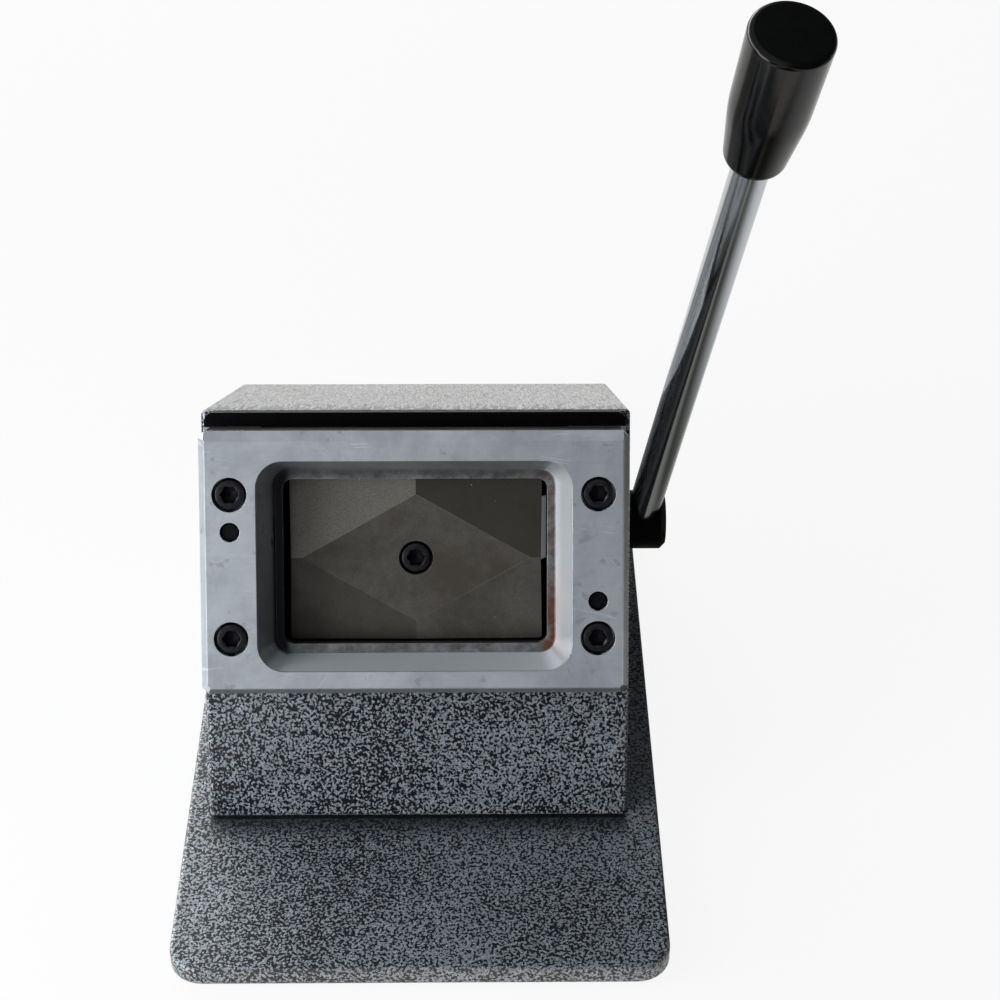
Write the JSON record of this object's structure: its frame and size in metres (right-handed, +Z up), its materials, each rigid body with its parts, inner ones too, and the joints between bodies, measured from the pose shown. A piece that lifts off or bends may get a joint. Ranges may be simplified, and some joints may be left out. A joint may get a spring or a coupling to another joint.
{
  "type": "plastic identity card die cutter",
  "caption": "Desk cutter with a sloped steel die window, a cam-driven card punch behind a feed slot, a hollow cast head on a flat base and a side lever with a tapered knob.",
  "frame": {"origin": "on the plane that the four feet stand on, below the middle of the head", "axes": "+Z up, -Y towards the user at the die window, +X to the user's right, where the lever is"},
  "size_m": [0.1992, 0.255, 0.2889],
  "materials": {
    "hammertone_paint": "hammertone enamel, silver grey on near black",
    "foot_rubber": "matte",
    "plated_screw": "zinc plated",
    "black_screw": "black oxide",
    "hardened_pin": "ground",
    "brushed_die_steel": "ground and lightly scratched",
    "ground_steel": "machined",
    "blackened_steel": "blackened, satin",
    "punch_steel": "dark tool steel, ground facets",
    "bush_bronze": "turned bronze",
    "chrome_rod": "polished",
    "knob_plastic": "gloss"
  },
  "bodies": {
    "frame": {"base_plate": "hammertone_paint", "rubber_feet": "foot_rubber", "feet_screws": "plated_screw", "base_screws": "black_screw", "head_casting": "hammertone_paint", "rear_cover": "hammertone_paint", "rear_cover_screws": "black_screw", "die_plate": "brushed_die_steel", "die_plate_screws": "black_screw", "dowel_pins": "hardened_pin", "slot_spacer_left": "ground_steel", "slot_spacer_right": "ground_steel", "sheet_stop": "ground_steel", "guide_plate": "blackened_steel", "ram_rail_left": "ground_steel", "ram_rail_right": "ground_steel", "ram_rail_screws": "black_screw", "shaft_bush_left": "bush_bronze", "shaft_bush_right": "bush_bronze"},
    "ram": {"punch": "punch_steel", "punch_screw": "black_screw", "ram_slide": "ground_steel"},
    "lever": {"cam_shaft": "ground_steel", "eccentric_cam": "hardened_pin", "cam_key": "ground_steel", "shaft_collar": "blackened_steel", "collar_screw": "black_screw", "lever_hub": "blackened_steel", "hub_screw": "black_screw", "lever_rod": "chrome_rod", "lever_knob": "knob_plastic"}
  },
  "joints": [
    {"name": "lever_turn", "type": "hinge", "parent": "frame", "child": "lever", "pos_m": [0, 0.06786, 0.03996], "axis": [1, 0, 0], "range_deg": [0, 70]},
    {"name": "punch_slide", "type": "slide", "parent": "frame", "child": "ram", "axis": [0, -0.866, 0.5], "range_m": [0, 0.00701]}
  ],
  "couplings": [
    {"joint": "punch_slide", "follows": "lever_turn", "m_per_rad": 0.0057296}
  ]
}
